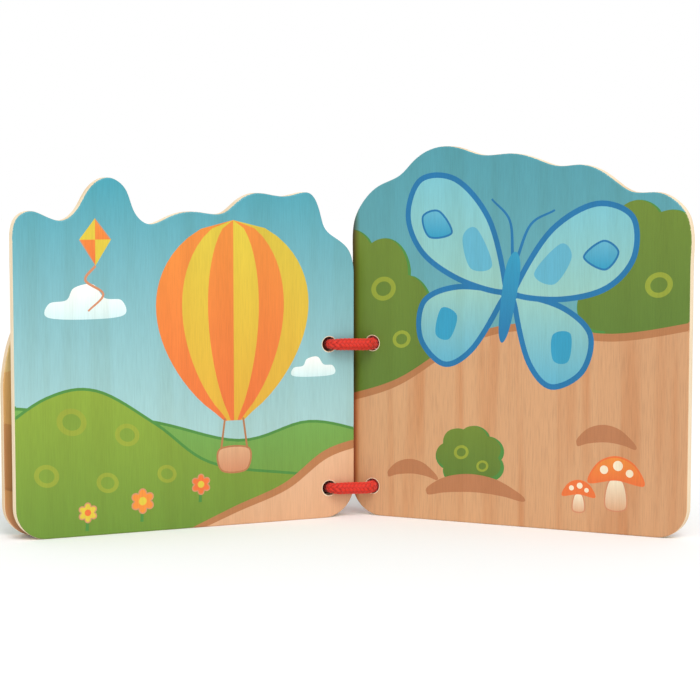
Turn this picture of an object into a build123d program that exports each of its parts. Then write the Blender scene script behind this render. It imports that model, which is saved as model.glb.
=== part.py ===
"""Baby book of three thick wooden leaves tied together by two cord loops.

Millimetres, +Z up. The book stands on the lower edges of its leaves, open in a V
towards -Y: the middle leaf on the left with the front cover fanned out behind it,
and the back cover on the right. Each leaf is drawn flat, as a profile of distance
from its spine edge and height above the table, then stood up and turned.
"""

import os
from math import cos, radians, sin

from build123d import *

# Leaves
LEAF_WIDTH = 140.0
LEAF_THICKNESS = 5.0
SPINE_CORNER_RADIUS = 13.0
OUTER_CORNER_RADIUS = 12.0
EDGE_ROUND = 0.6

# How the book stands
LEFT_ANGLE = 25.0
RIGHT_ANGLE = 25.8
FAN_ANGLE = 2.0
SPINE_TUCK = -0.8
SPINE_CLEARANCE = 0.67
STACK_GAP = 0.5
COVER_STEP = 1.4

# Cord holes
HOLE_PLAY = 0.9
HOLE_ROUND = 0.25
HOLE_INSET = 11.0
BACK_HOLE_INSET = 9.0
LOWER_HOLE_HEIGHT = 12.0
UPPER_HOLE_HEIGHT = 70.0

# Cord loops
CORD_DIAMETER = 5.0
BEND_RADIUS = 4.6
BACK_CORNER_RADIUS = 5.0
BACK_SWEEP_RADIUS = 12.0
LEFT_MOUTH_REACH = 4.6
RIGHT_MOUTH_REACH = 3.4
BACK_REACH = 5.0
BACK_CLEARANCE = 3.6
BACK_LEFT_SHOULDER = -8.5
BACK_RIGHT_SHOULDER = 5.0
KNOT_LENGTH = 11.0
KNOT_DIAMETER = 9.4
KNOT_SHOULDER = 3.9
TAIL_LENGTH = 11.0
TAIL_SPREAD = 42.0
TAIL_DROOP = 0.25

# Rolling top edges. Each leaf has its highest point, the drops from there to where its
# straight spine and outer sides end, and a crest between them: distance from the spine
# edge and drop below the highest point, drawn on the width CREST_SPAN.
CREST_SPAN = 140.0
CREST_EASE = 0.6

MIDDLE_HEIGHT = 136.3
MIDDLE_SPINE_DROP = 38.3
MIDDLE_OUTER_DROP = 24.3
MIDDLE_CREST = [
    (1.6, 30.1),
    (6.5, 24.9),
    (12.2, 20.7),
    (14.9, 13.5),
    (19.4, 6.1),
    (29.0, 7.2),
    (42.8, 6.1),
    (50.0, 9.3),
    (56.0, 13.7),
    (66.0, 13.3),
    (78.2, 15.0),
    (87.0, 17.6),
    (91.8, 13.7),
    (96.0, 3.9),
    (102.6, 0.0),
    (110.0, 4.1),
    (115.2, 12.3),
    (120.5, 16.0),
    (127.0, 14.5),
    (133.3, 12.5),
    (138.4, 15.5),
]

BACK_HEIGHT = 148.6
BACK_SPINE_DROP = 42.6
BACK_OUTER_DROP = 44.6
BACK_CREST = [
    (0.4, 31.1),
    (4.0, 22.8),
    (11.7, 15.5),
    (21.0, 11.2),
    (26.2, 6.2),
    (33.3, 1.5),
    (41.0, 0.0),
    (48.0, 1.2),
    (56.0, 3.5),
    (67.2, 3.0),
    (77.5, 4.8),
    (88.0, 7.9),
    (96.2, 7.4),
    (103.7, 9.3),
    (110.6, 13.8),
    (117.4, 17.7),
    (127.0, 17.9),
    (134.4, 21.4),
    (138.7, 27.0),
]

FRONT_HEIGHT = 121.0
FRONT_SPINE_DROP = 31.0
FRONT_OUTER_DROP = 64.0
FRONT_CREST = [
    (3.0, 20.0),
    (12.0, 12.4),
    (24.0, 3.6),
    (37.0, 0.0),
    (50.0, 4.4),
    (61.0, 9.6),
    (75.0, 8.2),
    (89.0, 11.0),
    (101.0, 7.6),
    (111.0, 12.6),
    (121.0, 24.5),
    (131.6, 36.0),
    (138.0, 50.0),
]


def turned(vector, degrees):
    """The plan vector turned about the vertical, anticlockwise seen from above."""
    c = cos(radians(degrees))
    s = sin(radians(degrees))
    return Vector(c * vector.X - s * vector.Y, s * vector.X + c * vector.Y)


# Plan directions of the leaves: along each leaf from the spine, and out of the face
# that it shows to the reader. The middle leaf's front spine corner is the origin.
LEFT_ALONG = turned(Vector(-1, 0), LEFT_ANGLE)
LEFT_FACING = turned(Vector(0, -1), LEFT_ANGLE)
FAN_ALONG = turned(LEFT_ALONG, -FAN_ANGLE)
FAN_FACING = turned(LEFT_FACING, -FAN_ANGLE)
RIGHT_ALONG = turned(Vector(1, 0), -RIGHT_ANGLE)
RIGHT_FACING = turned(Vector(0, -1), -RIGHT_ANGLE)
MIDDLE_CORNER = Vector(0, 0)
BACK_CORNER = Vector(SPINE_TUCK, LEAF_THICKNESS * cos(radians(LEFT_ANGLE)) + SPINE_CLEARANCE)


def crossing(first, first_value, second, second_value):
    """The plan point whose products with two directions have the given values."""
    det = first.X * second.Y - first.Y * second.X
    x = (first_value * second.Y - first.Y * second_value) / det
    y = (first.X * second_value - first_value * second.X) / det
    return Vector(x, y)


# The back cover closes flat on the middle leaf, spine edges level and STACK_GAP apart.
BACK_AXIS = crossing(
    LEFT_ALONG - RIGHT_ALONG,
    -BACK_CORNER.dot(RIGHT_ALONG),
    LEFT_FACING + RIGHT_FACING,
    STACK_GAP + BACK_CORNER.dot(RIGHT_FACING),
)

# Opened flat, the back cover's rear face lies this far behind the middle leaf's front.
BACK_FLAT_REACH = (
    (BACK_AXIS - BACK_CORNER).dot(RIGHT_FACING)
    - BACK_AXIS.dot(LEFT_FACING)
    + LEAF_THICKNESS
)

# The front cover turns behind that, about an axis level with its spine edge. That edge is
# set back by COVER_STEP, and the cover's holes are in line with the middle leaf's.
FRONT_AXIS_DEPTH = (BACK_FLAT_REACH + 2 * LEAF_THICKNESS + 2 * STACK_GAP) / 2
FRONT_AXIS = COVER_STEP * LEFT_ALONG - FRONT_AXIS_DEPTH * LEFT_FACING
FRONT_HOLE_INSET = HOLE_INSET - COVER_STEP
CLOSED_FRONT_CORNER = COVER_STEP * LEFT_ALONG - (LEAF_THICKNESS + STACK_GAP) * LEFT_FACING
FRONT_CORNER = FRONT_AXIS + turned(CLOSED_FRONT_CORNER - FRONT_AXIS, -FAN_ANGLE)


def leaf_profile(height, spine_drop, outer_drop, crest):
    """The outline of a leaf: rounded lower corners, straight sides, a rolling top."""
    spine_r = SPINE_CORNER_RADIUS
    outer_r = OUTER_CORNER_RADIUS
    spine_top = height - spine_drop
    outer_top = height - outer_drop
    stretch = LEAF_WIDTH / CREST_SPAN
    crest_points = [(distance * stretch, height - drop) for distance, drop in crest]
    spine_side = Line((0, spine_r), (0, spine_top))
    top = Spline(
        [(0, spine_top), *crest_points, (LEAF_WIDTH, outer_top)],
        tangents=[(0, 1), (0, -1)],
        tangent_scalars=[CREST_EASE, CREST_EASE],
    )
    outer_side = Line((LEAF_WIDTH, outer_top), (LEAF_WIDTH, outer_r))
    outer_corner = RadiusArc((LEAF_WIDTH, outer_r), (LEAF_WIDTH - outer_r, 0), outer_r)
    base = Line((LEAF_WIDTH - outer_r, 0), (spine_r, 0))
    spine_corner = RadiusArc((spine_r, 0), (0, spine_r), spine_r)
    return make_face([spine_side, top, outer_side, outer_corner, base, spine_corner])


def leaf(height, spine_drop, outer_drop, crest, hole_inset):
    """One leaf lying flat, half its thickness each side of the XY plane, drilled and eased."""
    profile = leaf_profile(height, spine_drop, outer_drop, crest)
    board = extrude(profile, LEAF_THICKNESS / 2, both=True)
    faces = board.faces().sort_by(Axis.Z)
    board = fillet([*faces[0].edges(), *faces[-1].edges()], EDGE_ROUND)
    drill = Cylinder((CORD_DIAMETER + HOLE_PLAY) / 2, 2 * LEAF_THICKNESS)
    for hole_height in (LOWER_HOLE_HEIGHT, UPPER_HOLE_HEIGHT):
        board -= Pos(hole_inset, hole_height, 0) * drill
    faces = board.faces().sort_by(Axis.Z)
    mouths = [wire for face in (faces[0], faces[-1]) for wire in face.inner_wires()]
    return fillet([edge for mouth in mouths for edge in mouth.edges()], HOLE_ROUND)


def stood_up(board, corner, along, facing):
    """Stands a flat leaf on its lower edge, the spine edge of its shown face at a corner."""
    origin = corner - facing * (LEAF_THICKNESS / 2)
    return Plane(origin, x_dir=along, z_dir=along.cross(Vector(0, 0, 1))) * board


def level(point, height):
    """A plan point as a point at a height."""
    return (point.X, point.Y, height)


def cord_points():
    """Corners of the cord's route in plan, clockwise from the front of the left hole."""
    fanned_hole = (FRONT_CORNER + FRONT_HOLE_INSET * FAN_ALONG).dot(LEFT_ALONG)
    left_hole = (HOLE_INSET + fanned_hole) / 2 * LEFT_ALONG
    right_hole = BACK_CORNER + BACK_HOLE_INSET * RIGHT_ALONG
    front_rear = FRONT_CORNER - LEAF_THICKNESS * FAN_FACING
    back_rear = BACK_CORNER - LEAF_THICKNESS * RIGHT_FACING
    left_depth = -front_rear.dot(LEFT_FACING) + FRONT_HOLE_INSET * sin(radians(FAN_ANGLE))
    back_line = max(front_rear.Y, back_rear.Y) + CORD_DIAMETER / 2 + BACK_CLEARANCE
    return [
        left_hole + LEFT_MOUTH_REACH * LEFT_FACING,
        right_hole + RIGHT_MOUTH_REACH * RIGHT_FACING,
        right_hole - (LEAF_THICKNESS + BACK_REACH) * RIGHT_FACING,
        Vector(BACK_RIGHT_SHOULDER, back_line),
        Vector(BACK_LEFT_SHOULDER, back_line),
        left_hole - (left_depth + BACK_REACH) * LEFT_FACING,
    ]


def cord_loop(height):
    """A loop through the holes, and the knot behind the spine that closes it."""
    points = cord_points()
    radii = [
        BEND_RADIUS,
        BEND_RADIUS,
        BACK_CORNER_RADIUS,
        BACK_SWEEP_RADIUS,
        BACK_SWEEP_RADIUS,
        BACK_CORNER_RADIUS,
    ]
    knot_centre = (points[3] + points[4]) / 2
    path = FilletPolyline(*[level(p, height) for p in points], radius=radii, close=True)
    print("cord radii", radii, "loop length", round(path.length, 1))
    start = path @ 0
    section = Plane(start, z_dir=path % 0) * Circle(CORD_DIAMETER / 2)
    loop = sweep(section, path=path, transition=Transition.RIGHT)
    knot = Rot(0, 90, 0) * Cylinder(KNOT_DIAMETER / 2, KNOT_LENGTH)
    knot = fillet(knot.edges(), KNOT_SHOULDER)
    place = Pos(*level(knot_centre, height))
    loop += place * knot
    for side in (-1, 1):
        outwards = turned(Vector(0, 1), side * TAIL_SPREAD) - Vector(0, 0, TAIL_DROOP)
        tail = Solid.make_cylinder(CORD_DIAMETER / 2, TAIL_LENGTH, Plane((0, 0, 0), z_dir=outwards))
        loop += place * tail
    return loop


def main():
    os.makedirs("parts", exist_ok=True)
    middle = leaf(MIDDLE_HEIGHT, MIDDLE_SPINE_DROP, MIDDLE_OUTER_DROP, MIDDLE_CREST, HOLE_INSET)
    front = leaf(
        FRONT_HEIGHT, FRONT_SPINE_DROP, FRONT_OUTER_DROP, FRONT_CREST, FRONT_HOLE_INSET
    )
    back = leaf(BACK_HEIGHT, BACK_SPINE_DROP, BACK_OUTER_DROP, BACK_CREST, BACK_HOLE_INSET)
    pieces = {
        "middle_leaf": stood_up(middle, MIDDLE_CORNER, LEFT_ALONG, LEFT_FACING),
        "front_cover": stood_up(front, FRONT_CORNER, FAN_ALONG, FAN_FACING),
        "back_cover": stood_up(back, BACK_CORNER, RIGHT_ALONG, RIGHT_FACING),
        "lower_cord_loop": cord_loop(LOWER_HOLE_HEIGHT),
        "upper_cord_loop": cord_loop(UPPER_HOLE_HEIGHT),
    }
    box = Compound(list(pieces.values())).bounding_box()
    centre = box.center()
    to_centre = Pos(-centre.X, -centre.Y, -box.min.Z)
    for name, piece in pieces.items():
        export_step(to_centre * piece, f"parts/{name}.step")
    print("row frame origin", round(centre.X, 4), round(centre.Y, 4), round(box.min.Z, 4))
    plan_centre = Vector(centre.X, centre.Y)
    print("back axis", BACK_AXIS - plan_centre)
    print("front axis", FRONT_AXIS - plan_centre)
    print("cord corners", [(round(p.X, 3), round(p.Y, 3)) for p in (q - plan_centre for q in cord_points())])


main()
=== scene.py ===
"""Looks of a wooden baby book: printed leaves and braided cord loops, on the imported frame.

Lengths are named in millimetres and made in metres, in the frame of the CAD: +Z up, with
the reader at -Y. A leaf is painted flat: distance from its spine edge and height above the
table.
"""
from math import atan2, ceil, cos, dist, pi, radians, sin

import bpy
import numpy as np
from mathutils import Matrix, Vector
from mathutils.geometry import delaunay_2d_cdt


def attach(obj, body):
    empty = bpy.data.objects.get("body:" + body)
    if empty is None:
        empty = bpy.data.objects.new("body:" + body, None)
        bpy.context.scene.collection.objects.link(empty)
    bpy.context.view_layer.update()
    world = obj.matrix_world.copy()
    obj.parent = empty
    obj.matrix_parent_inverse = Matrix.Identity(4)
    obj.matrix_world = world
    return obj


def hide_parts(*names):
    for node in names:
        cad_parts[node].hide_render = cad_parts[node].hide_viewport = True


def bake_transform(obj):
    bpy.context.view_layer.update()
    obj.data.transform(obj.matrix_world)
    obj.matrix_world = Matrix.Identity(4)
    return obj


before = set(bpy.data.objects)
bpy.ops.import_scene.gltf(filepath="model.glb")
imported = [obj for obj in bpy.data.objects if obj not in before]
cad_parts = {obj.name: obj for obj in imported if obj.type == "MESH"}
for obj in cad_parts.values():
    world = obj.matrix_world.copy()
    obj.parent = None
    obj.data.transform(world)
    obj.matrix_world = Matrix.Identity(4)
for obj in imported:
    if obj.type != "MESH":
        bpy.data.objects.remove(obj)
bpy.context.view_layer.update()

MM = 0.001

# Camera of the photograph: its place, its degrees below level, and its lens
CAMERA_PLACE = (1.79 * MM, -787.32 * MM, 134.51 * MM)
CAMERA_PITCH = 4.78
CAMERA_LENS = 103.24
SENSOR_WIDTH = 36.0
CAMERA_NEAR = 10.0 * MM

# Floor and light: a lamp has its energy, its spread in degrees and its turn in degrees
FLOOR_REACH = 6000.0 * MM
FLOOR_GREYS = (0.93, 0.95)
SURROUND_LIGHT = 0.75
LAMPS = {
    "key": (1.15, 30, (38, 0, 20)),
    "fill": (0.55, 60, (55, 0, 10)),
}

# How the leaves stand, in degrees, as in part.py
LEFT_ANGLE = 25.0
RIGHT_ANGLE = 25.8
FAN_ANGLE = 2.0

# Print: a page larger than any leaf, how near a flat face its triangles lie, how finely a
# leaf is cut, how far a shape runs past spine and foot, and how flat a printed arris lies
PAGE_SIZE = (150, 160)
PLANE_REACH = 0.02
PAINT_GRID = 3.0
CUT_TOLERANCE = 1e-4
RIM_STEP = 2.5
OUTSIDE = 8.0
PRINT_LEAN = 0.5

# The painted highlight round a hole, and the painted shade along the spine of the right page
HOLE_HIGHLIGHT = 0.18
GUTTER_BAND = 3.6
GUTTER_TONES = [
    (0.0, (0.36, 0.14, 0.12)),
    (0.3, (0.44, 0.20, 0.15)),
    (0.6, (0.80, 0.58, 0.44)),
    (1.0, (1.0, 1.0, 1.0)),
]
SHOWN_DEPTH = 1.0

# Wood: repeats in a metre, across, through and up a leaf
FIBRES = (2100, 2100, 110)
STREAKS = (130, 130, 7)
STRIPS = (23, 23, 23)

# Cord, as in part.py: corners of the loop's route in plan, and the two hole heights
CORD_DIAMETER = 5.0
HOLE_HEIGHTS = {"lower": 12.0, "upper": 70.0}
ROUTE = [
    (-4.628, 7.896),
    (9.303, 14.976),
    (15.135, 27.040),
    (8.480, 32.556),
    (-5.020, 32.556),
    (-13.264, 26.417),
]

# How the pulled cord leaves that route, where it is thinner by a hole's mouth, and where
# painted shade darkens it just inside the hole
MOUTH_POINT = 3.0
FRONT_PULL = 2.0
SPINE_PULL = 0.9
HOLE_PULL = 0.5
RIGHT_PULL = 0.35
RIGHT_DROP = 0.25
FRONT_BEND = 5.6
SQUEEZE = 0.17
SQUEEZE_REACH = 3.0
LEFT_MOUTH_REACH = 4.6
MIDDLE_HOLE_REACH = 5.5
HOLE_SHADE_DEPTH = 2.4
HOLE_SHADE_REACH = 1.0
HOLE_SHADE_FADE = 1.2

# Behind the spine: the knot and its two tails
REAR_MIDDLE = (1.730, 32.556)
FAR_SHOULDER_SHIFT = (-3.6, 0.9)
KNOT_CENTRE = (-8.2, 32.9)
KNOT_SIZE = 1.12
KNOT_STRETCH = (1.5, 0.92, 0.92)
KNOT_POINTS = 24
KNOT_CORD_RADIUS = 2.0
TAIL_LENGTH = 10.4
TAIL_SHARES = (0.15, 0.4, 0.7, 0.97)
TAIL_SPREAD = 42.0
TAIL_DROOP = 0.25
TAIL_LIFT = 0.35

# The melted cap of a tail, in shares of the cord's radius
CAP_RINGS = 7
CAP_SIDES = 20
CAP_WIDTH = 0.985
CAP_HEIGHT = 0.28
CAP_SUNK = 0.15
CAP_LUMPS = (0.05, 0.03)

# Braid: two sets of strands that wind opposite ways, two over and two under
STRANDS_EACH_WAY = 8
BRAID_PITCH = 12.5
STRAND_WIDTH = 1.3
STRAND_THICKNESS = 0.72
BRAID_LIFT = 0.2
STEPS_PER_PITCH = 30
FEWEST_STEPS = 6
STRAND_SIDES = 8
ROUTE_STEPS = 16
FILAMENTS_ALONG = 1.6
FILAMENTS_AROUND = 9.0
FUZZ_SCALE = 700.0


# Colours

def srgb(red, green, blue):
    """A colour from 0 to 255 as linear light."""
    shares = np.array([red, green, blue]) / 255
    return np.where(shares <= 0.04045, shares / 12.92, ((shares + 0.055) / 1.055) ** 2.4)


SKY_HIGH = srgb(64, 154, 170)
SKY_LOW = srgb(182, 212, 206)
SKY_PALE = srgb(150, 208, 210)
DUSK_HIGH = srgb(76, 150, 162)
DUSK_LOW = srgb(122, 180, 184)
LEAF_GREEN = srgb(104, 138, 42)
LIME = srgb(134, 160, 46)
MOSS = srgb(86, 118, 36)
MOSS_LIGHT = srgb(106, 131, 38)
SPOT = srgb(144, 158, 44)
GREEN_EDGE = srgb(72, 134, 54)
FAR_GREEN = srgb(112, 166, 78)
HILL_GREEN = srgb(128, 178, 92)
ORANGE = srgb(232, 138, 50)
YELLOW = srgb(216, 192, 56)
GOLD = srgb(222, 170, 50)
RED_ORANGE = srgb(230, 112, 50)
PEACH = srgb(216, 166, 126)
PEACH_LIGHT = srgb(222, 176, 138)
PEACH_SHADE = srgb(204, 136, 98)
CREAM = srgb(240, 226, 196)
TEAL = srgb(146, 196, 186)
TEAL_TIP = srgb(120, 190, 200)
TEAL_BLUE = srgb(92, 172, 196)
MID_BLUE = srgb(40, 150, 186)
DEEP_BLUE = srgb(14, 112, 164)
BROWN = srgb(178, 118, 72)
EARTH = srgb(180, 118, 76)
OCHRE = srgb(206, 150, 84)
SAND_LIGHT = srgb(236, 206, 150)
SAND = srgb(214, 170, 92)
DUNE_LIGHT = srgb(222, 170, 104)
DUNE = srgb(200, 140, 84)
WHITE = srgb(246, 246, 240)
CLOUD_SHADE = srgb(206, 232, 232)
BARE_WOOD = (srgb(206, 156, 112), srgb(197, 138, 92))
EDGE_WOOD = (srgb(240, 220, 186), srgb(226, 192, 148))
# The cord's dye, and a darker red for the painted shade where strands dive under
CORD_DYE_AND_SHADE = (srgb(208, 44, 28), srgb(132, 14, 14))
CORD_MELT = (srgb(150, 26, 24), srgb(96, 14, 16))
# Painted shade: the factor that darkens the cord just inside a hole
CORD_HOLE_SHADE = (0.22, 0.16, 0.18)


# Flat shapes, in millimetres on a leaf

def smooth(points, closed=True, steps=8):
    """A Catmull-Rom curve through the points."""
    p = np.array(points, float)
    if closed:
        p = np.vstack([p[-1:], p, p[:2]])
    else:
        p = np.vstack([2 * p[:1] - p[1:2], p, 2 * p[-1:] - p[-2:-1]])
    t = np.linspace(0, 1, steps, endpoint=False)[:, None]
    spans = [
        0.5 * (2 * b + (c - a) * t + (2 * a - 5 * b + 4 * c - d) * t**2
               + (3 * b - a - 3 * c + d) * t**3)
        for a, b, c, d in zip(p, p[1:], p[2:], p[3:])
    ]
    curve = np.vstack(spans)
    return curve if closed else np.vstack([curve, p[-2]])


def sized(points, centre, across, up):
    """Points drawn about the origin, brought to their size and place."""
    return np.array(points) * (across, up) + centre


def ellipse(centre, across, up, turn=0.0):
    """An ellipse from its half width and half height, turned by some degrees."""
    a = np.linspace(0, 2 * pi, 44, endpoint=False)
    x = across * np.cos(a)
    y = up * np.sin(a)
    c = cos(radians(turn))
    s = sin(radians(turn))
    return np.column_stack([centre[0] + c * x - s * y, centre[1] + s * x + c * y])


def cloud(centre, across, up, lobes, depth=0.13, turn=0.0):
    """A bush or a cloud: a round outline with lobes."""
    a = np.linspace(0, 2 * pi, 16 * lobes, endpoint=False)
    swell = 1 - depth + depth * np.abs(np.sin(lobes * a / 2 + turn)) ** 0.8
    x = centre[0] + across * swell * np.cos(a)
    y = centre[1] + up * swell * np.sin(a)
    return np.column_stack([x, y])


def ground(*points):
    """Everything below a smooth line that crosses the leaf."""
    line = smooth(points, closed=False)
    return np.vstack([line, [(line[-1, 0], -OUTSIDE), (line[0, 0], -OUTSIDE)]])


def ribbon(points, widths):
    """A smooth stroke whose width changes from point to point."""
    line = smooth(points, closed=False)
    along = np.gradient(line, axis=0)
    along /= np.linalg.norm(along, axis=1)[:, None]
    side = np.column_stack([-along[:, 1], along[:, 0]])
    at = np.linspace(0, len(widths) - 1, len(line))
    half = np.interp(at, range(len(widths)), widths)[:, None] / 2
    return np.vstack([line + side * half, (line - side * half)[::-1]])


def mirrored(outline, axis):
    """An outline mirrored about the line through a point at an angle from upright."""
    (x, y), lean = axis
    direction = np.array([sin(radians(lean)), cos(radians(lean))])
    away = np.asarray(outline) - (x, y)
    return (2 * (away @ direction)[:, None] * direction - away + (x, y))[::-1]


def grown(outline, distance):
    """An outline moved outwards, or inwards where the distance is negative."""
    p = np.asarray(outline, float)
    x, y = p.T
    turn_sign = np.sign(np.sum(x * np.roll(y, -1) - y * np.roll(x, -1)))
    along = np.roll(p, -1, axis=0) - np.roll(p, 1, axis=0)
    along /= np.maximum(np.linalg.norm(along, axis=1), 1e-9)[:, None]
    return p + turn_sign * distance * np.column_stack([along[:, 1], -along[:, 0]])


def inside(points, outline):
    """Which points lie inside a closed outline."""
    p = np.asarray(points)
    q = np.asarray(outline)
    found = np.zeros(len(p), bool)
    near = np.all((p >= q.min(0)) & (p <= q.max(0)), axis=1)
    x, y = p[near, 0][:, None], p[near, 1][:, None]
    ax, ay = q.T
    bx, by = np.roll(q, -1, axis=0).T
    rise = np.where(by == ay, 1e-12, by - ay)
    crosses = ((ay > y) != (by > y)) & (x < ax + (y - ay) * (bx - ax) / rise)
    found[near] = crosses.sum(1) % 2 == 1
    return found


class Picture:
    """Shapes in the order in which they are printed; a later one covers an earlier one.

    Its bushes and rings take their greens from leaf_low and leaf_high.
    """

    def __init__(self, leaf_low=LEAF_GREEN, leaf_high=LIME):
        self.shapes = []
        self.leaf_low = leaf_low
        self.leaf_high = leaf_high

    def add(self, outline, low, high=None, ink=1.0, edge=None, edge_width=1.1, shift=(0, 0)):
        """A shape, coloured from its lowest point to its highest, with an edging line."""
        if edge is not None:
            self.shapes.append((outline, edge, edge, 1.0))
            outline = grown(outline, -edge_width) + shift
        self.shapes.append((outline, low, low if high is None else high, ink))

    def sky(self, low, high):
        """The colour of the whole page, behind everything else."""
        self.add(ground((-OUTSIDE, PAGE_SIZE[1]), PAGE_SIZE), low, high)

    def ring(self, centre, size, tilt=20.0):
        """A pale ring among the leaves."""
        self.add(ellipse(centre, size, 0.86 * size, tilt), SPOT)
        between = (self.leaf_low + self.leaf_high) / 2
        self.add(ellipse(centre, 0.62 * size, 0.52 * size, tilt), between)

    def mound(self, foot, across, up):
        """A low mound of earth with rounded ends and a hollow foot."""
        shape = [(-1, 0), (-0.97, 0.28), (-0.62, 0.78), (-0.12, 1), (0.4, 0.84), (0.82, 0.36),
                 (1, 0.02), (0.93, -0.12), (0.55, 0.06), (0, 0.16), (-0.6, 0.06), (-0.93, -0.1)]
        self.add(smooth(sized(shape, foot, across, up)), EARTH)

    def bush(self, centre, across, up, lobes, rings=(), turn=0.0):
        """Leaves with a shaded side at the lower right."""
        self.add(cloud(centre, across, up, lobes, turn=turn), self.leaf_low, self.leaf_high,
                 edge=GREEN_EDGE, edge_width=0.8, shift=(-0.6, 0.7))
        for x, y, size in rings:
            self.ring((x, y), size)

    def puff(self, centre, size):
        """A small pale cloud with a flat foot."""
        shape = [(-1, 0), (-0.95, 0.38), (-0.5, 0.45), (-0.2, 0.8), (0.3, 0.72), (0.5, 0.42),
                 (0.95, 0.34), (1, 0), (0, -0.08)]
        self.add(smooth(sized(shape, centre, size, size)), CLOUD_SHADE, WHITE)

    def flower(self, centre, size, colour, middle, stem):
        """Six petals round a middle, on a stem."""
        x, y = centre
        self.add(ribbon([(x + 0.4, y - stem), (x, y)], [1.3, 1.0]), GREEN_EDGE)
        self.add(cloud(centre, size, size, 6, 0.3), colour, edge=PEACH_SHADE, edge_width=0.5)
        self.add(ellipse(centre, 0.32 * size, 0.32 * size), middle)

    def mushroom(self, foot, size, colour):
        """A pale stalk under a cap with three dots."""
        x, y = foot
        stalk = [(-0.28, 0), (-0.2, 0.7), (0.2, 0.7), (0.28, 0)]
        cap = [(-0.75, 0.62), (-0.5, 1.15), (0, 1.35), (0.5, 1.15), (0.75, 0.62), (0, 0.72)]
        self.add(smooth(sized(stalk, foot, size, size)), PEACH, CREAM,
                 edge=PEACH_SHADE, edge_width=0.5)
        self.add(smooth(sized(cap, foot, size, size)), RED_ORANGE, colour,
                 edge=RED_ORANGE, edge_width=0.7)
        for dx, dy, dot in ((-0.32, 0.98, 0.11), (0.05, 1.1, 0.13), (0.36, 0.92, 0.1)):
            self.add(ellipse((x + dx * size, y + dy * size), dot * size, dot * size), CREAM)

    def balloon(self, centre, size):
        """A hot-air balloon of yellow and orange gores over a basket."""
        x, y = centre
        rows = np.linspace(0, 1, 25)
        half = size * np.sin(pi * rows**0.8) ** 0.62
        half = np.maximum(half, 0.13 * size * rows)
        up = y + size * (1.12 - 2.45 * rows)
        gores = 6
        for k in range(gores):
            left = x + half * (2 * k / gores - 1)
            right = x + half * (2 * (k + 1) / gores - 1)
            bulge = np.sin(pi * (k + 0.5) / gores)
            outline = np.vstack([np.column_stack([left, up]), np.column_stack([right, up])[::-1]])
            if k % 2:
                self.add(outline, RED_ORANGE, ORANGE)
            else:
                self.add(outline, GOLD, YELLOW * (0.9 + 0.15 * bulge))
        mouth = up[-1]
        basket_top = mouth - 0.34 * size
        for side in (-1, 1):
            rope = [(x + side * 0.12 * size, mouth + 0.03 * size),
                    (x + side * 0.17 * size, basket_top)]
            self.add(ribbon(rope, [0.8, 0.8]), BROWN)
        basket = [(-0.2, 0), (0.2, 0), (0.17, -0.28), (-0.17, -0.28)]
        self.add(smooth(sized(basket, (x, basket_top), size, size), steps=6), PEACH_SHADE, PEACH,
                 edge=BROWN, edge_width=0.7)

    def kite(self, centre, size):
        """A kite in four fields of two colours, with a winding tail."""
        x, y = centre
        tail = [(x, y - size), (x + 4, y - 1.6 * size), (x - 3, y - 2.2 * size),
                (x + 3, y - 2.9 * size)]
        self.add(ribbon(tail, [1.0, 1.0, 0.9, 0.7]), PEACH_SHADE)
        tips = sized([(0, 1), (0.7, 0.1), (0, -1), (-0.7, 0.1)], centre, size, size)
        self.add(tips, RED_ORANGE, ORANGE, edge=PEACH_SHADE, edge_width=0.6)
        for field in (tips[:2], tips[2:]):
            self.add(np.vstack([field, (x, y + 0.1 * size)]), YELLOW)

    def butterfly(self, centre, size, lean):
        """Wings of pale teal with deep blue edges, and a slim body."""
        x, y = centre
        axis = (centre, lean)
        c = cos(radians(lean))
        s = sin(radians(lean))

        def place(points):
            """Points about the origin, brought to the butterfly's lean, size and place."""
            return [(x + size * (px * c + py * s), y + size * (py * c - px * s)) for px, py in points]

        upper = smooth(place([(0.04, 0.1), (0.28, 0.62), (0.66, 0.92), (1.02, 0.86), (1.1, 0.5),
                              (0.9, 0.18), (0.5, 0.0), (0.06, -0.04)]))
        lower = smooth(place([(0.05, 0.0), (0.5, -0.02), (0.82, -0.22), (0.8, -0.58),
                              (0.52, -0.78), (0.26, -0.6), (0.06, -0.16)]))
        spot = smooth(place([(0.62, 0.42), (0.78, 0.6), (0.94, 0.52), (0.84, 0.34)]))
        drop = smooth(place([(0.46, -0.3), (0.62, -0.26), (0.64, -0.5), (0.5, -0.52)]))
        field = smooth(place([(0.2, 0.2), (0.4, 0.5), (0.52, 0.4), (0.4, 0.14)]))
        for half in (lambda o: o, lambda o: mirrored(o, axis)):
            self.add(half(lower), TEAL_BLUE, TEAL, edge=DEEP_BLUE, edge_width=2.2)
            self.add(half(drop), MID_BLUE)
            self.add(half(upper), TEAL, TEAL_TIP, edge=DEEP_BLUE, edge_width=2.2)
            self.add(half(spot), MID_BLUE, TEAL_BLUE, edge=DEEP_BLUE, edge_width=0.8)
            self.add(half(field), TEAL_BLUE)
            feeler = place([(0.02, 0.3), (0.1, 0.62), (0.3, 0.78)])
            self.add(half(ribbon(feeler, [1.3, 1.0, 0.8])), DEEP_BLUE)
        body = smooth(place([(0.0, 0.36), (0.07, 0.2), (0.055, -0.3), (0.0, -0.46),
                             (-0.055, -0.3), (-0.07, 0.2)]))
        self.add(body, DEEP_BLUE, MID_BLUE)


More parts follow.
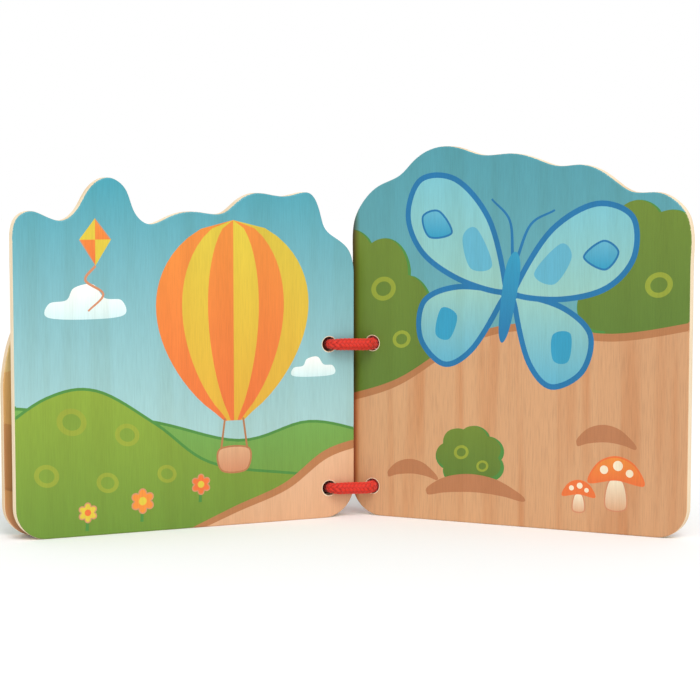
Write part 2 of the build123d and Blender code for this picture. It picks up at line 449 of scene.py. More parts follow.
def balloon_page():
    """The left page of the open spread: a balloon over hills."""
    p = Picture()
    p.sky(SKY_LOW, SKY_HIGH)
    p.puff((112, 84), 15)
    p.puff((18, 58), 9)
    p.add(ground((-8, 34), (20, 40), (50, 34), (90, 44), (150, 52)), LEAF_GREEN, FAR_GREEN,
          edge=GREEN_EDGE)
    p.add(ground((-8, 16), (30, 20), (62, 26), (84, 42), (108, 56), (128, 54), (150, 40)),
          LEAF_GREEN, LIME, edge=GREEN_EDGE)
    for x, y, size in ((96, 38, 5), (118, 44, 6), (128, 24, 5), (104, 20, 4.5), (80, 22, 4)):
        p.ring((x, y), size)
    p.add(ground((-8, 30), (12, 25), (30, 13), (52, 5), (76, -4), (100, -7)), PEACH, PEACH_LIGHT)
    p.add(ribbon([(-8, 31), (12, 26), (30, 14), (52, 6), (80, -5)], [3.4, 3.4, 3.0, 2.6, 2.0]),
          BROWN)
    p.balloon((52, 84), 32)
    p.kite((108, 112), 9)
    p.flower((90, 12), 5, ORANGE, YELLOW, 8)
    p.flower((112, 9), 4, YELLOW, RED_ORANGE, 7)
    p.flower((66, 17), 4.2, RED_ORANGE, YELLOW, 7)
    return p


def butterfly_page():
    """The right page of the open spread: a butterfly over bare wood ground."""
    p = Picture(MOSS, MOSS_LIGHT)
    p.sky(DUSK_LOW, DUSK_HIGH)
    p.bush((4, 74), 33, 42, 9, ((14, 92, 5.5), (22, 72, 4)))
    p.bush((122, 98), 30, 30, 9, ((110, 108, 5), (128, 96, 5.5)), 0.4)
    p.add(ground((-8, 47), (20, 56), (48, 73), (74, 80), (110, 77), (150, 84)), BROWN)
    p.add(ground((-8, 44), (20, 53), (48, 70), (74, 77), (110, 74), (150, 81)), PEACH, ink=0.0)
    p.mound((27, 17), 11, 7)
    p.mound((108, 34), 12, 8)
    p.bush((52, 26), 15, 13, 7, ((48, 28, 3.2), (57, 23, 2.6)))
    p.mound((54, 11), 21, 8.5)
    p.mushroom((112, 10), 15, ORANGE)
    p.mushroom((97, 8), 9, RED_ORANGE)
    p.butterfly((68, 92), 44, 9)
    return p


def meadow_page():
    """The rear of the middle leaf, which isn't seen: plain hills and flowers."""
    p = Picture()
    p.sky(SKY_LOW, TEAL_BLUE)
    p.puff((98, 100), 13)
    p.puff((44, 82), 10)
    p.add(ground((-8, 58), (34, 64), (80, 46), (150, 60)), GREEN_EDGE, HILL_GREEN)
    p.add(ground((-8, 30), (40, 26), (90, 40), (150, 34)), LEAF_GREEN, LIME, edge=GREEN_EDGE)
    for k, x in enumerate((24, 46, 70, 96, 120)):
        p.flower((x, 20 + 7 * (k % 2)), 6, (ORANGE, YELLOW, RED_ORANGE)[k % 3], CREAM, 12)
    return p


def desert_page():
    """The inner face of the front cover, of which a strip is seen: ochre dunes."""
    p = Picture()
    p.sky(SAND_LIGHT, SAND)
    p.puff((52, 96), 12)
    p.add(ground((-8, 70), (40, 58), (90, 74), (150, 60)), OCHRE, DUNE_LIGHT)
    p.add(ground((-8, 42), (44, 54), (96, 36), (150, 46)), BROWN, DUNE)
    p.add(ground((-8, 18), (60, 26), (110, 14), (150, 22)), PEACH_SHADE, OCHRE, edge=BROWN)
    p.bush((84, 22), 12, 11, 7, ((82, 24, 2.8),))
    p.bush((30, 28), 9, 8, 6)
    return p


def pond_page():
    """The outer face of the front cover: bushes round a pond."""
    p = Picture()
    p.sky(SKY_LOW, SKY_HIGH)
    p.puff((50, 88), 14)
    p.puff((104, 72), 10)
    p.bush((14, 48), 30, 26, 8, ((16, 52, 5), (2, 44, 4)))
    p.bush((126, 44), 28, 24, 8, ((120, 50, 5),), 0.5)
    p.add(ground((-8, 34), (60, 42), (150, 32)), LEAF_GREEN, LIME, edge=GREEN_EDGE)
    p.add(ellipse((72, 16), 38, 13), MID_BLUE, TEAL, edge=DEEP_BLUE)
    for x, y in ((58, 15), (84, 20), (78, 10)):
        p.add(ellipse((x, y), 6, 2.4), LIME, edge=GREEN_EDGE, edge_width=0.5)
    p.flower((24, 22), 5, YELLOW, ORANGE, 8)
    p.flower((122, 20), 5, ORANGE, YELLOW, 8)
    return p


def garden_page():
    """The outer face of the back cover: mushrooms and flowers on bare wood ground."""
    p = Picture()
    p.sky(SKY_PALE, SKY_HIGH)
    p.puff((42, 118), 15)
    p.puff((100, 104), 12)
    p.bush((128, 72), 30, 28, 8, ((122, 78, 5),))
    p.add(ground((-8, 62), (50, 70), (100, 56), (150, 62)), LEAF_GREEN, LIME, edge=GREEN_EDGE)
    p.add(ground((-8, 40), (60, 46), (150, 36)), PEACH, ink=0.0)
    p.mushroom((70, 34), 26, ORANGE)
    p.mushroom((98, 28), 16, RED_ORANGE)
    p.mushroom((44, 28), 13, YELLOW)
    for x, y in ((28, 22), (124, 26)):
        p.flower((x, y), 6, ORANGE, YELLOW, 12)
    p.mound((98, 12), 15, 7)
    p.mound((52, 20), 9, 5)
    return p


# Materials

def node(tree, kind, inputs=None, **settings):
    """A shader node with its settings, and each input set or linked."""
    made = tree.nodes.new(kind)
    for name, value in settings.items():
        setattr(made, name, value)
    for key, value in (inputs or {}).items():
        if isinstance(value, bpy.types.NodeSocket):
            tree.links.new(value, made.inputs[key])
        else:
            made.inputs[key].default_value = value
    return made


def math(tree, operation, first, second=0.0):
    """The result of a sum or function of one or two values."""
    return node(tree, "ShaderNodeMath", {0: first, 1: second}, operation=operation).outputs[0]


def ramp(tree, factor, stops):
    """A colour ramp with (position, grey or colour) stops."""
    made = node(tree, "ShaderNodeValToRGB", {0: factor})
    elements = made.color_ramp.elements
    while len(elements) < len(stops):
        elements.new(0.5)
    for element, (position, colour) in zip(elements, stops):
        element.position = position
        rgb = (colour,) * 3 if isinstance(colour, float) else tuple(colour)
        element.color = (*rgb, 1.0)
    return made.outputs["Color"]


def mix(tree, kind, factor, first, second):
    """Two colours mixed by a factor."""
    made = node(tree, "ShaderNodeMix", {0: factor}, data_type="RGBA", blend_type=kind)
    for socket, value in ((made.inputs[6], first), (made.inputs[7], second)):
        if isinstance(value, bpy.types.NodeSocket):
            tree.links.new(value, socket)
        else:
            socket.default_value = (*value, 1.0)
    return made.outputs[2]


def surface(name, roughness, specular):
    """A new material, with its node tree and its Principled shader."""
    material = bpy.data.materials.new(name)
    material.use_nodes = True
    shader = material.node_tree.nodes["Principled BSDF"]
    shader.inputs["Roughness"].default_value = roughness
    shader.inputs["Specular IOR Level"].default_value = specular
    return material, material.node_tree, shader


def relief(tree, shader, height, strength, distance):
    """Fine relief, as a bump."""
    bump = node(tree, "ShaderNodeBump",
                {"Height": height, "Strength": strength, "Distance": distance})
    tree.links.new(bump.outputs[0], shader.inputs["Normal"])


def leaf_coordinates(tree, scale, offset):
    """The leaf's own coordinates, scaled, so that the grain runs up the leaf."""
    place = node(tree, "ShaderNodeTexCoord").outputs["Object"]
    mapped = node(tree, "ShaderNodeMapping", {"Vector": place, "Scale": scale, "Location": offset})
    return mapped.outputs[0]


def wood_grain(tree, offset):
    """Factors of the boards' wood: fine fibres, broad streaks and glued strips."""
    fine_at = leaf_coordinates(tree, FIBRES, offset)
    fine = node(tree, "ShaderNodeTexNoise", {"Vector": fine_at, "Scale": 1.0, "Detail": 3.0})
    broad_at = leaf_coordinates(tree, STREAKS, offset)
    broad = node(tree, "ShaderNodeTexNoise",
                 {"Vector": broad_at, "Scale": 1.0, "Detail": 2.0, "Distortion": 0.25})
    across = node(tree, "ShaderNodeSeparateXYZ", {0: leaf_coordinates(tree, STRIPS, offset)})
    strip = node(tree, "ShaderNodeTexWhiteNoise",
                 {"W": math(tree, "FLOOR", across.outputs[0])}, noise_dimensions="1D")
    return fine.outputs[0], broad.outputs[0], strip.outputs["Value"]


def bare_wood(tree, grain, light, dark):
    """The colour of bare wood from its grain."""
    fine, broad, strip = grain
    colour = ramp(tree, broad, [(0.30, dark), (0.50, light), (0.72, light * 1.05)])
    fibres = ramp(tree, fine, [(0.34, 0.84), (0.52, 1.0), (0.7, 1.04)])
    colour = mix(tree, "MULTIPLY", 0.7, colour, fibres)
    tone = ramp(tree, strip, [(0.0, (0.93, 0.90, 0.88)), (0.5, 1.0), (1.0, (1.02, 1.02, 1.01))])
    return mix(tree, "MULTIPLY", 1.0, colour, tone)


def gutter_shade(tree):
    """A painted shade on the shown face along the spine, in place of the gutter's shadow."""
    place = node(tree, "ShaderNodeTexCoord").outputs["Object"]
    parts = node(tree, "ShaderNodeSeparateXYZ", {0: place}).outputs
    band = ramp(tree, math(tree, "DIVIDE", parts[0], GUTTER_BAND * MM), GUTTER_TONES)
    shown = math(tree, "LESS_THAN", math(tree, "ABSOLUTE", parts[1]), SHOWN_DEPTH * MM)
    return mix(tree, "MIX", shown, (1.0, 1.0, 1.0), band)


def print_material(name, offset, gutter=False):
    """Ink on wood: the printed colours with the grain showing through, and bare wood between."""
    material, tree, shader = surface(name, roughness=0.42, specular=0.42)
    grain = wood_grain(tree, offset)
    fine, broad, strip = grain
    ink = node(tree, "ShaderNodeAttribute", attribute_name="print")
    through = mix(tree, "MULTIPLY", 0.30, ink.outputs["Color"],
                  ramp(tree, fine, [(0.36, 0.78), (0.56, 1.0), (0.72, 1.08)]))
    through = mix(tree, "MULTIPLY", 0.55, through,
                  ramp(tree, broad, [(0.3, (0.90, 0.86, 0.80)), (0.55, 1.0), (0.75, 1.05)]))
    through = mix(tree, "MULTIPLY", 0.35, through, ramp(tree, strip, [(0.0, 0.90), (1.0, 1.05)]))
    bare = bare_wood(tree, grain, *BARE_WOOD)
    colour = mix(tree, "MIX", ink.outputs["Alpha"], bare, through)
    if gutter:
        colour = mix(tree, "MULTIPLY", 1.0, colour, gutter_shade(tree))
    tree.links.new(colour, shader.inputs["Base Color"])
    height = math(tree, "ADD", math(tree, "MULTIPLY", fine, 0.7), math(tree, "MULTIPLY", broad, 0.3))
    relief(tree, shader, height, strength=0.10, distance=0.4 * MM)
    sheen = ramp(tree, broad, [(0.3, 0.50), (0.7, 0.38)])
    tree.links.new(sheen, shader.inputs["Roughness"])
    return material


def edge_material(name, offset):
    """Sanded edges of the boards, in paler wood than the faces."""
    material, tree, shader = surface(name, roughness=0.6, specular=0.3)
    grain = wood_grain(tree, offset)
    colour = bare_wood(tree, grain, *EDGE_WOOD)
    tree.links.new(colour, shader.inputs["Base Color"])
    relief(tree, shader, grain[0], strength=0.2, distance=0.4 * MM)
    return material


def cord_material(name, light, dark):
    """Dyed braid: fine filaments along each strand, with painted shade where strands dive under and
    just inside the holes.
    """
    material, tree, shader = surface(name, roughness=0.62, specular=0.35)
    shader.inputs["Sheen Weight"].default_value = 0.15
    shader.inputs["Sheen Roughness"].default_value = 0.4
    spot = node(tree, "ShaderNodeAttribute", attribute_name="strand")
    parts = node(tree, "ShaderNodeSeparateXYZ", {0: spot.outputs["Vector"]})
    along, around, lift = parts.outputs
    twist = math(tree, "ADD", math(tree, "MULTIPLY", along, FILAMENTS_ALONG),
                 math(tree, "MULTIPLY", around, FILAMENTS_AROUND))
    lines = math(tree, "SINE", math(tree, "MULTIPLY", twist, 2 * pi))
    place = node(tree, "ShaderNodeTexCoord").outputs["Object"]
    fuzz = node(tree, "ShaderNodeTexNoise", {"Vector": place, "Scale": FUZZ_SCALE, "Detail": 2.0})
    # Painted shade: darker where a strand dives under the others, with some random fuzz
    depth = math(tree, "ADD", math(tree, "MULTIPLY", lift, 0.5), 0.5)
    shade = math(tree, "ADD", math(tree, "MULTIPLY", depth, 0.75),
                 math(tree, "MULTIPLY", fuzz.outputs[0], 0.35))
    shade = math(tree, "ADD", shade, math(tree, "MULTIPLY", lines, 0.06))
    colour = ramp(tree, shade, [(0.15, dark), (0.75, light), (1.0, light * 1.2)])
    # Painted shade: the cord darkened just inside a hole's mouth, where the hole's shadow falls
    hole_shade = node(tree, "ShaderNodeAttribute", attribute_name="hole_shade").outputs["Fac"]
    colour = mix(tree, "MULTIPLY", hole_shade, colour, CORD_HOLE_SHADE)
    tree.links.new(colour, shader.inputs["Base Color"])
    relief(tree, shader, lines, strength=0.35, distance=0.08 * MM)
    return material


def placed(name, data):
    """A new object in the scene, with this mesh, lamp or camera."""
    made = bpy.data.objects.new(name, data)
    bpy.context.collection.objects.link(made)
    return made


# Leaves

class Board:
    """A leaf's frame, read from its CAD node: along the leaf, out of its shown face, up.

    Its side is 1 where the leaf runs to the right of the spine, and -1 to the left.
    """

    def __init__(self, name, turn, side):
        facing = Matrix.Rotation(radians(turn), 3, "Z") @ Vector((0, -1, 0))
        along = Vector((facing.y, -facing.x, 0)) * -side
        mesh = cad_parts[name].data
        mesh.calc_loop_triangles()
        points = np.array([v.co for v in mesh.vertices])
        start = (points @ np.array(along)).min()
        front = (points @ np.array(facing)).max()
        corner = along * start + facing * front
        self.thickness = (front - (points @ np.array(facing)).min()) / MM
        self.matrix = Matrix.Translation(corner) @ Matrix(
            [(along.x, -side * facing.x, 0), (along.y, -side * facing.y, 0), (0, 0, 1)]
        ).to_4x4()
        away = points - np.array(corner)
        depths = -(away @ np.array(facing))
        self.points = np.column_stack([away @ np.array(along), depths, points[:, 2]]) / MM
        self.triangles = np.array([t.vertices for t in mesh.loop_triangles])

    def on_plane(self, depth):
        """Which CAD triangles lie in the flat face at a depth behind the front."""
        return np.all(np.abs(self.points[self.triangles][:, :, 1] - depth) < PLANE_REACH, axis=1)

    def loops(self):
        """Closed outlines of the flat face: the board's own and its holes'."""
        flat = self.points[self.triangles[self.on_plane(0)]][:, :, (0, 2)]
        keys = np.round(flat, 4)
        names = {}
        edges = {}
        for triangle in keys:
            ids = [names.setdefault(tuple(p), len(names)) for p in triangle]
            for a, b in zip(ids, ids[1:] + ids[:1]):
                edges.setdefault(frozenset((a, b)), []).append((a, b))
        border = [e[0] for e in edges.values() if len(e) == 1 and e[0][0] != e[0][1]]
        following = dict(border)
        places = np.array(list(names))
        loops = []
        while following:
            start, at = following.popitem()
            loop = [start]
            while at != start and at in following:
                loop.append(at)
                at = following.pop(at)
            loops.append(places[loop])
        return sorted(loops, key=lambda loop: -np.ptp(loop[:, 0]))


def corner_colours(places, triangles, picture, crest):
    """The picture's colours at the corners of triangles on a leaf as high as its crest."""
    centres = places[triangles].mean(1)
    colours = np.ones((len(triangles), 3, 4))
    for shape, low_colour, high_colour, ink in picture.shapes:
        chosen = inside(centres, shape)
        up = places[triangles[chosen]][:, :, 1]
        foot, top = max(shape[:, 1].min(), 0), min(shape[:, 1].max(), crest)
        share = np.clip((up - foot) / max(top - foot, 1e-6), 0, 1)[:, :, None]
        colours[chosen, :, :3] = low_colour + (np.asarray(high_colour) - low_colour) * share
        colours[chosen, :, 3] = ink
    return colours


def cut_long(points, triangles, limit):
    """Triangles halved across their longest side until no side is longer than the limit."""
    points = points.tolist()
    waiting = triangles.tolist()
    done = []
    halves = {}
    while waiting:
        t = waiting.pop()
        sides = [dist(points[t[k]], points[t[(k + 1) % 3]]) for k in range(3)]
        k = sides.index(max(sides))
        if sides[k] <= limit:
            done.append(t)
            continue
        a, b, c = t[k], t[(k + 1) % 3], t[(k + 2) % 3]
        side = (min(a, b), max(a, b))
        if side not in halves:
            halves[side] = len(points)
            points.append([(u + v) / 2 for u, v in zip(points[a], points[b])])
        waiting += [(a, halves[side], c), (halves[side], b, c)]
    return np.array(points), np.array(done)


def rim_colours(points, rim, outline, middle, pictures):
    """Which rim triangles the print covers, where an arris leans to a face, and their colours."""
    corners = points[rim]
    centres = corners.mean(1)
    across = np.cross(corners[:, 1] - corners[:, 0], corners[:, 2] - corners[:, 0])
    lean = np.abs(across[:, 1]) / np.maximum(np.linalg.norm(across, axis=1), 1e-12)
    printed = (lean > PRINT_LEAN) & ~inside(centres[:, (0, 2)], outline)
    behind = centres[:, 1] > middle
    colours = np.ones((len(rim), 3, 4))
    for picture, chosen in zip(pictures, (printed & ~behind, printed & behind)):
        crest = outline[:, 1].max()
        colours[chosen] = corner_colours(points[:, (0, 2)], rim[chosen], picture, crest)
    return printed, colours


def painted_face(outline, holes, picture):
    """Triangles of a flat face cut along the picture's shapes, and their corner colours."""
    shapes = [outline, *holes, *(np.asarray(s[0]) for s in picture.shapes)]
    points = []
    edges = []
    for shape in shapes:
        first = len(points)
        count = len(shape)
        points.extend(shape)
        edges.extend((first + k, first + (k + 1) % count) for k in range(count))
    low, high = outline.min(0), outline.max(0)
    steps = np.ceil((high - low) / PAINT_GRID).astype(int)
    for i in range(1, steps[0]):
        for j in range(1, steps[1]):
            points.append(low + PAINT_GRID * np.array([i + 0.5 * (j % 2), j]))
    vectors = [Vector(p) for p in points]
    made = delaunay_2d_cdt(vectors, edges, [], 0, CUT_TOLERANCE, False)
    places = np.array([tuple(p) for p in made[0]])
    triangles = np.array([f for f in made[2] if len(f) == 3])
    centres = places[triangles].mean(1)
    kept = inside(centres, outline)
    for hole in holes:
        kept &= ~inside(centres, hole)
    used, triangles = np.unique(triangles[kept], return_inverse=True)
    triangles = triangles.reshape(-1, 3)
    places = places[used]
    return places, triangles, corner_colours(places, triangles, picture, high[1])


def leaf_piece(name, turn, side, front, rear, offset, gutter=False):
    """A leaf: its CAD edges and holes, and two faces cut into their pictures' shapes.

    The print runs on over the rounded arrises of the outline. Those of the holes stay bare,
    with a thin pale ring round them: a painted highlight, in place of the holes' lit walls.
    """
    board = Board(name, turn, side)
    outline, *holes = board.loops()
    rim = board.triangles[~(board.on_plane(0) | board.on_plane(board.thickness))]
    rim_points, rim = cut_long(board.points, rim, RIM_STEP)
    middle = board.thickness / 2
    rim_printed, rim_paint = rim_colours(rim_points, rim, outline, middle, (front, rear))
    points = [rim_points]
    faces = [rim]
    colours = [rim_paint]
    count = len(rim_points)
    for picture, depth in ((front, 0.0), (rear, board.thickness)):
        # Painted highlight: a pale ring round each hole, in place of the hole's lit wall
        for hole in holes:
            picture.add(grown(hole, HOLE_HIGHLIGHT), CREAM)
        places, triangles, paint = painted_face(outline, holes, picture)
        if (depth > 0) != (side < 0):
            triangles, paint = triangles[:, ::-1], paint[:, ::-1]
        points.append(np.column_stack([places[:, 0], np.full(len(places), depth), places[:, 1]]))
        faces.append(triangles + count)
        colours.append(paint)
        count += len(places)
    vertices = np.vstack(points) * MM
    vertices[:, 1] *= side
    triangles = np.vstack(faces)
    mesh = bpy.data.meshes.new(name + "_printed")
    mesh.from_pydata(vertices.tolist(), [], triangles.tolist())
    paint = mesh.color_attributes.new("print", "FLOAT_COLOR", "CORNER")
    paint.data.foreach_set("color", np.vstack(colours).astype(np.float32).ravel())
    flat = np.arange(len(triangles)) >= len(rim)
    printed = flat.copy()
    printed[:len(rim)] = rim_printed
    mesh.polygons.foreach_set("material_index", printed.astype(np.int32))
    mesh.polygons.foreach_set("use_smooth", ~flat)
    mesh.materials.append(edge_material(name + "_edge_wood", offset))
    mesh.materials.append(print_material(name + "_print", offset, gutter))
    mesh.update()
    piece = placed(name + "_printed", mesh)
    piece.matrix_world = board.matrix
    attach(piece, name)
    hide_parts(name)


# Cords

def spline_points(points, cyclic):
    """Points along the smooth line of a route, in metres."""
    curve = bpy.data.curves.new("route", "CURVE")
    curve.dimensions = "3D"
    spline = curve.splines.new("NURBS")
    spline.points.add(len(points) - 1)
    for place, point in zip(spline.points, points):
        place.co = (*point, 1.0)
    spline.use_cyclic_u = cyclic
    spline.use_endpoint_u = not cyclic
    spline.order_u = 3
    spline.resolution_u = ROUTE_STEPS
    holder = bpy.data.objects.new("route", curve)
    mesh = bpy.data.meshes.new_from_object(holder)
    line = np.array([v.co for v in mesh.vertices])
    bpy.data.objects.remove(holder)
    bpy.data.curves.remove(curve)
    bpy.data.meshes.remove(mesh)
    return line


class Path:
    """The line of a route with its length, directions and a frame that doesn't twist."""

    def __init__(self, points, cyclic):
        line = spline_points(points, cyclic)
        self.line = np.vstack([line, line[:1]]) if cyclic else line
        steps = np.linalg.norm(np.diff(self.line, axis=0), axis=1)
        self.at = np.concatenate([[0], np.cumsum(steps)])
        self.length = self.at[-1]
        along = np.gradient(self.line, self.at, axis=0)
        if cyclic:
            along[0] = along[-1] = self.line[1] - self.line[-2]
        self.along = along / np.linalg.norm(along, axis=1)[:, None]
        side = np.cross(self.along[0], (0, 0, 1))
        sides = []
        for direction in self.along:
            side = side - direction * (side @ direction)
            side = side / np.linalg.norm(side)
            sides.append(side)
        self.side = np.array(sides)

    def frames(self, at):
        """Places and two cross directions at lengths along the path."""
        place, along, side = (
            np.column_stack([np.interp(at, self.at, values[:, k]) for k in range(3)])
            for values in (self.line, self.along, self.side)
        )
        along /= np.linalg.norm(along, axis=1)[:, None]
        side -= along * np.sum(side * along, axis=1)[:, None]
        side /= np.linalg.norm(side, axis=1)[:, None]
        return place, side, np.cross(along, side)


def mouth_effects(at, mouths):
    """A cord's share of its thickness and its painted shade, at lengths along it.

    It is squeezed thinner round the mouth of a hole, and darkened with painted shade just inside the
    hole, where the hole's shadow falls.
    """
    size = np.ones(len(at))
    hole_shade = np.zeros(len(at))
    for mouth in mouths:
        depth = (mouth - at) / MM
        size -= SQUEEZE * np.exp(-((depth / SQUEEZE_REACH) ** 2))
        hole_shade += np.clip(1 - (np.abs(depth - HOLE_SHADE_DEPTH) - HOLE_SHADE_REACH) / HOLE_SHADE_FADE, 0, 1)
    return size, hole_shade


def ring_faces(first, rings, sides):
    """Faces between rings of points, the first of which has this number."""
    faces = []
    for ring in range(first, first + (rings - 1) * sides, sides):
        for j in range(sides):
            a = ring + j
            b = ring + (j + 1) % sides
            faces.append((a, b, b + sides, a + sides))
    return faces


def cord_part(name, vertices, faces, material):
    """A smooth piece of cord."""
    mesh = bpy.data.meshes.new(name)
    mesh.from_pydata(vertices, [], faces)
    mesh.shade_smooth()
    mesh.materials.append(material)
    piece = placed(name, mesh)
    return piece


def braid(name, path, start, end, radius=CORD_DIAMETER / 2, mouths=()):
    """The strands of a braided cord along part of a path."""
    turns = max(round(path.length / (BRAID_PITCH * MM)), 1)
    pitch = path.length / turns
    count = max(ceil((end - start) / pitch * STEPS_PER_PITCH), FEWEST_STEPS)
    at = np.linspace(start, end, count + 1)
    place, side, up = path.frames(at)
    # The squeeze round a hole's mouth, and the painted shade just inside it
    size, hole_shade = mouth_effects(at, mouths)
    middle = radius * MM * size - (STRAND_THICKNESS / 2 + BRAID_LIFT) * MM
    around = np.linspace(0, 2 * pi, STRAND_SIDES, endpoint=False)
    vertices = []
    faces = []
    marks = []
    hole_shades = []
    for way in (1, -1):
        for k in range(STRANDS_EACH_WAY):
            angle = 2 * pi * (k / STRANDS_EACH_WAY + way * at / pitch)
            phase = pi * k + way * STRANDS_EACH_WAY * pi * at / pitch - pi / 4
            lift = way * np.cos(phase)
            out = np.cos(angle)[:, None] * side + np.sin(angle)[:, None] * up
            centre = place + out * (middle + BRAID_LIFT * MM * lift)[:, None]
            heading = np.gradient(centre, axis=0)
            heading /= np.linalg.norm(heading, axis=1)[:, None]
            flank = np.cross(heading, out)
            flank /= np.linalg.norm(flank, axis=1)[:, None]
            first = len(vertices)
            for i in range(len(at)):
                for a in around:
                    wide = STRAND_WIDTH / 2 * MM * size[i] * cos(a)
                    thick = STRAND_THICKNESS / 2 * MM * sin(a)
                    vertices.append(centre[i] + flank[i] * wide + out[i] * thick)
                    marks.append((at[i] / MM, a / (2 * pi), lift[i]))
                    hole_shades.append(hole_shade[i])
            faces += ring_faces(first, len(at), STRAND_SIDES)
    piece = cord_part(name, vertices, faces, CORD_RED)
    attribute = piece.data.attributes.new("strand", "FLOAT_VECTOR", "POINT")
    attribute.data.foreach_set("vector", np.array(marks, np.float32).ravel())
    attribute = piece.data.attributes.new("hole_shade", "FLOAT", "POINT")
    attribute.data.foreach_set("value", np.array(hole_shades, np.float32))
    return piece


def at_height(plan, height):
    """A plan point, in millimetres, as a place in the scene."""
    return (plan[0] * MM, plan[1] * MM, height * MM)


def toward(first, second, distance):
    """A plan point at a distance from the first towards the second."""
    a = np.array(first)
    b = np.array(second)
    return tuple(a + (b - a) * distance / np.linalg.norm(b - a))


def loop_route(height):
    """The loop's control points: its corners, and points beside those at the holes' mouths.

    In front the cord is pulled tight: down onto the leaves and towards the spine. Behind,
    its knot lies to the left, where it is out of the covers' way at the ends of their travel.
    """
    left, right, right_rear, shoulder, far_shoulder, left_rear = ROUTE
    tight_left = toward(toward(left, left_rear, FRONT_PULL), right, SPINE_PULL)
    tight_rear = toward(left_rear, far_shoulder, HOLE_PULL)
    tight_right = toward(right, left, RIGHT_PULL)
    tight_right_rear = toward(right_rear, shoulder, RIGHT_PULL)
    far_shoulder = np.add(far_shoulder, FAR_SHOULDER_SHIFT)
    plan = [
        (tight_left, 0),
        (toward(tight_left, tight_right, FRONT_BEND), 0),
        (toward(tight_right, tight_left, MOUTH_POINT), RIGHT_DROP),
        (tight_right, RIGHT_DROP),
        (toward(tight_right, tight_right_rear, MOUTH_POINT), RIGHT_DROP),
        (toward(tight_right_rear, tight_right, MOUTH_POINT), RIGHT_DROP),
        (tight_right_rear, 0),
        (shoulder, 0),
        (far_shoulder, 0),
        (tight_rear, 0),
        (toward(tight_rear, tight_left, MOUTH_POINT), 0),
        (toward(tight_left, tight_rear, FRONT_BEND), 0),
    ]
    return [at_height(point, height - drop) for point, drop in plan]


def nearest(path, plan, height):
    """The length along a path at its nearest point to a plan point."""
    return path.at[np.argmin(np.linalg.norm(path.line - at_height(plan, height), axis=1))]


def knot_pieces(label, height):
    """The knot behind the spine, a stretched trefoil, and its two short tails."""
    centre = np.array(at_height(KNOT_CENTRE, height))
    turns = np.linspace(0, 2 * pi, KNOT_POINTS, endpoint=False)
    shape = np.column_stack([
        -1.1 * np.sin(3 * turns),
        np.sin(turns) + 2 * np.sin(2 * turns),
        np.cos(turns) - 2 * np.cos(2 * turns),
    ])
    path = Path(centre + KNOT_SIZE * MM * shape * KNOT_STRETCH, True)
    pieces = [braid(label + "_knot", path, 0, path.length, KNOT_CORD_RADIUS)]
    spread = radians(TAIL_SPREAD)
    for word, side in (("right", 1), ("left", -1)):
        direction = np.array([side * sin(spread), cos(spread), -TAIL_DROOP])
        direction /= np.linalg.norm(direction)
        reach = [centre + direction * TAIL_LENGTH * MM * share for share in TAIL_SHARES]
        reach[2] += (0, 0, TAIL_LIFT * MM)
        path = Path(reach, False)
        name = f"{label}_tail_{word}"
        pieces.append(braid(name, path, 0, path.length))
        pieces.append(tail_end(name + "_end", reach[-1], direction))
    return pieces


def tail_end(name, place, direction):
    """The melted end of a tail: a lumpy cap."""
    radius = CORD_DIAMETER / 2 * MM
    vertices = []
    for i in range(CAP_RINGS):
        a = pi / 2 * i / (CAP_RINGS - 1)
        height = (CAP_HEIGHT * sin(a) - CAP_SUNK) * radius
        for j in range(CAP_SIDES):
            b = 2 * pi * j / CAP_SIDES
            lump = 1 + CAP_LUMPS[0] * sin(3 * b + i) + CAP_LUMPS[1] * sin(7 * b)
            reach = CAP_WIDTH * radius * cos(a) * lump
            vertices.append((reach * cos(b), reach * sin(b), height))
    piece = cord_part(name, vertices, ring_faces(0, CAP_RINGS, CAP_SIDES), CORD_END)
    turn = Vector(direction).to_track_quat("Z", "Y").to_matrix().to_4x4()
    piece.matrix_world = Matrix.Translation(Vector(place)) @ turn
    return piece


def cord_loop(label, height):
    """One loop in four stretches, each listed with the two bodies that hold it, and its knot and
    tails on the middle leaf.
    """
    left, right, right_rear, *_, left_rear = ROUTE
    path = Path(loop_route(height), True)
    length = path.length
    knot_at = nearest(path, KNOT_CENTRE, height)
    left_mid = toward(left, left_rear, dist(left, left_rear) / 2)
    left_at = nearest(path, left_mid, height)
    right_at = nearest(path, toward(right, right_rear, dist(right, right_rear) / 2), height)
    middle_hole = toward(left, left_rear, MIDDLE_HOLE_REACH)
    middle_at = nearest(path, middle_hole, height)
    if left_at < right_at:
        left_at += length
    if middle_at < right_at:
        middle_at += length
    long_path = path_twice(path)
    mouth = nearest(path, toward(left, left_rear, LEFT_MOUTH_REACH), height)
    stretches = [
        ("front", middle_at, right_at + length, "middle_leaf", "back_cover", left, right),
        ("rear_right", right_at, knot_at, "back_cover", "middle_leaf", right_rear, REAR_MIDDLE),
        ("rear_left", knot_at, left_at, "middle_leaf", "front_cover", KNOT_CENTRE, left_rear),
        ("inner", left_at, middle_at, "front_cover", "middle_leaf", left_mid, middle_hole),
    ]
    for word, start, end, first, second, start_plan, end_plan in stretches:
        piece = braid(f"{label}_loop_{word}", long_path, start, end, mouths=(mouth, mouth + length))
        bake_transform(piece)
        if word == "front":
            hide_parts(label + "_cord_loop")
    for piece in knot_pieces(label, height):
        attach(piece, "middle_leaf")


def path_twice(path):
    """A closed path run twice, so that a stretch can pass its start, with its twist closed."""
    twice = Path.__new__(Path)
    twice.line = np.vstack([path.line, path.line[1:]])
    twice.at = np.concatenate([path.at, path.at[1:] + path.length])
    twice.along = np.vstack([path.along, path.along[1:]])
    first, last = path.side[0], path.side[-1]
    drift = atan2(last @ np.cross(path.along[0], first), last @ first)
    angle = -drift * (path.at / path.length)[:, None]
    turned = path.side * np.cos(angle) + np.cross(path.along, path.side) * np.sin(angle)
    twice.side = np.vstack([turned, turned[1:]])
    twice.length = path.length
    return twice


# Stage, light and camera

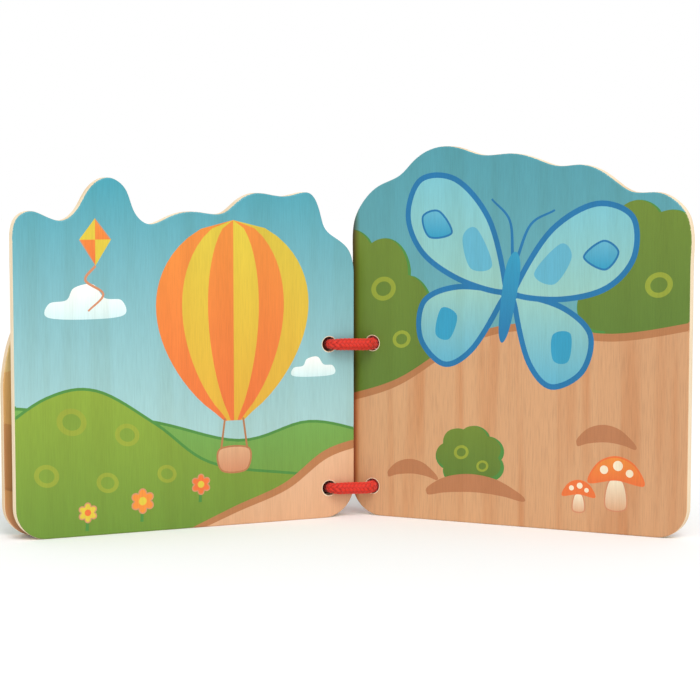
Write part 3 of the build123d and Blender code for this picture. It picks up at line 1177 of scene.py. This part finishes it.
def make_stage():
    """A plain pale floor that runs out of sight."""
    r = FLOOR_REACH
    mesh = bpy.data.meshes.new("floor")
    mesh.from_pydata([(-r, -r, 0), (r, -r, 0), (r, r, 0), (-r, r, 0)], [], [(0, 1, 2, 3)])
    material, tree, shader = surface("pale_floor", roughness=0.9, specular=0.1)
    cloudy = node(tree, "ShaderNodeTexNoise", {"Scale": 3.0})
    grey = ramp(tree, cloudy.outputs[0], [(0.0, FLOOR_GREYS[0]), (1.0, FLOOR_GREYS[1])])
    tree.links.new(grey, shader.inputs["Base Color"])
    mesh.materials.append(material)
    placed("floor", mesh)


def make_light():
    """An even surround, pure white where the camera sees it, and two soft suns."""
    world = bpy.data.worlds.new("surround")
    bpy.context.scene.world = world
    world.use_nodes = True
    tree = world.node_tree
    tree.nodes.clear()
    seen = node(tree, "ShaderNodeLightPath")
    rays = math(tree, "MAXIMUM", seen.outputs["Is Camera Ray"], seen.outputs["Is Glossy Ray"])
    rays = math(tree, "MAXIMUM", rays, seen.outputs["Is Transmission Ray"])
    more = math(tree, "MULTIPLY", rays, 1 - SURROUND_LIGHT)
    strength = math(tree, "ADD", more, SURROUND_LIGHT)
    back = node(tree, "ShaderNodeBackground", {"Color": (1, 1, 1, 1), "Strength": strength})
    out = node(tree, "ShaderNodeOutputWorld")
    tree.links.new(back.outputs[0], out.inputs[0])
    for name, (energy, spread, turn) in LAMPS.items():
        sun = bpy.data.lights.new(name, "SUN")
        sun.energy = energy
        sun.angle = radians(spread)
        placed(name, sun).rotation_euler = [radians(angle) for angle in turn]


def make_camera():
    """The camera, where the photograph was taken from."""
    camera = bpy.data.cameras.new("camera")
    camera.lens = CAMERA_LENS
    camera.sensor_width = SENSOR_WIDTH
    camera.clip_start = CAMERA_NEAR
    holder = placed("camera", camera)
    holder.location = CAMERA_PLACE
    holder.rotation_euler = (radians(90 - CAMERA_PITCH), 0, 0)
    bpy.context.scene.camera = holder


CORD_RED = cord_material("cord_red", *CORD_DYE_AND_SHADE)
CORD_END = cord_material("cord_melted_end", *CORD_MELT)

make_stage()
make_light()
make_camera()
leaf_piece("middle_leaf", LEFT_ANGLE, -1, balloon_page(), meadow_page(), offset=(0.3, 0, 0.1))
leaf_piece("front_cover", LEFT_ANGLE - FAN_ANGLE, -1, desert_page(), pond_page(),
           offset=(5.2, 0, 0.7))
leaf_piece("back_cover", -RIGHT_ANGLE, 1, butterfly_page(), garden_page(),
           offset=(9.6, 0, 1.3), gutter=True)
for label, height in HOLE_HEIGHTS.items():
    cord_loop(label, height)

bpy.context.scene.view_settings.view_transform = "Standard"
